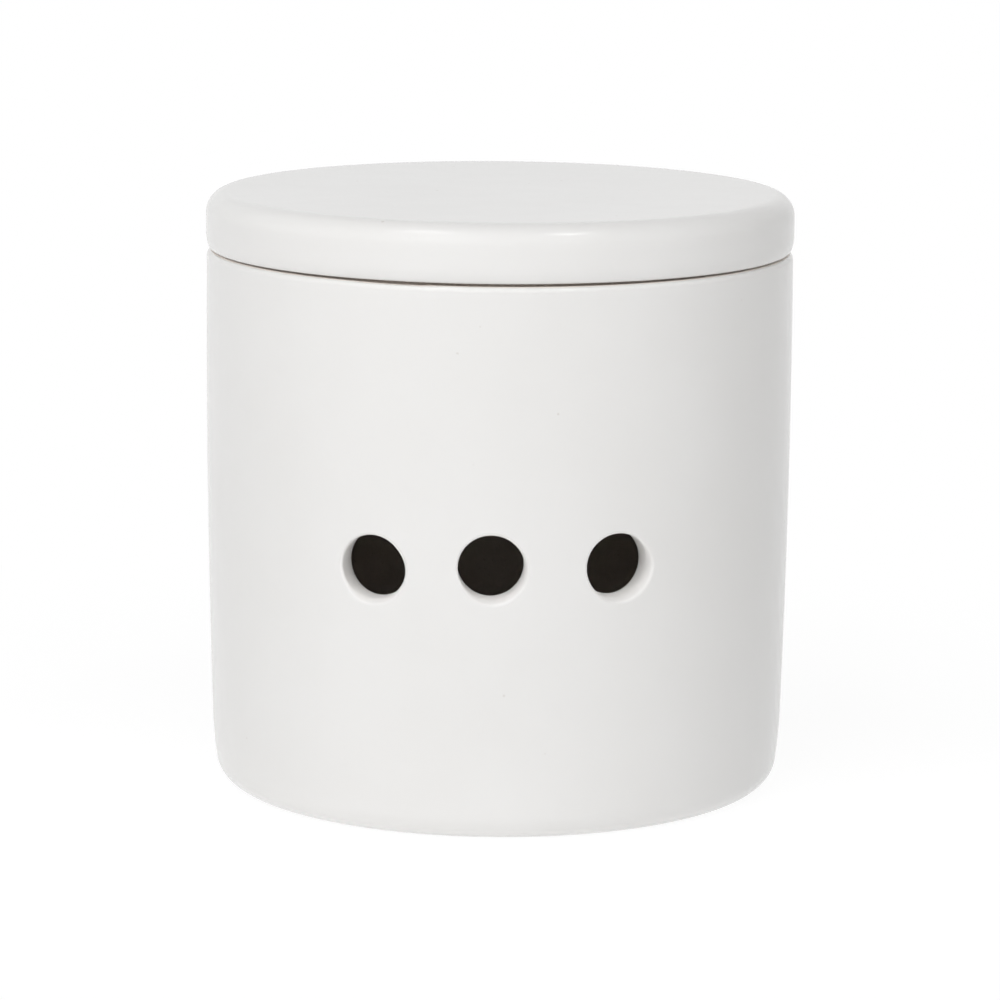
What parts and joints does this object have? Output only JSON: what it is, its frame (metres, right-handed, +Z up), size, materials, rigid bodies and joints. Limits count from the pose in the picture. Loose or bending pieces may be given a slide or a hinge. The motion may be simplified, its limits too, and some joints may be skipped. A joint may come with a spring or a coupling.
{
  "type": "garlic keeper",
  "caption": "Round stoneware jar with a row of small vents through its front wall and a thick flat lift-off lid that a ring underneath keeps in place.",
  "frame": {"origin": "middle of the foot ring, on the surface that the jar stands on", "axes": "+Z up along the jar's axis, -Y towards the middle vent"},
  "size_m": [0.12, 0.12, 0.1222],
  "materials": {
    "white_stoneware": "satin"
  },
  "bodies": {
    "jar": {"jar": "white_stoneware"},
    "lid": {"lid": "white_stoneware"}
  },
  "joints": [
    {"name": "lid_lift", "type": "slide", "parent": "jar", "child": "lid", "axis": [0, 0, 1], "range_m": [0, 0.12]}
  ]
}
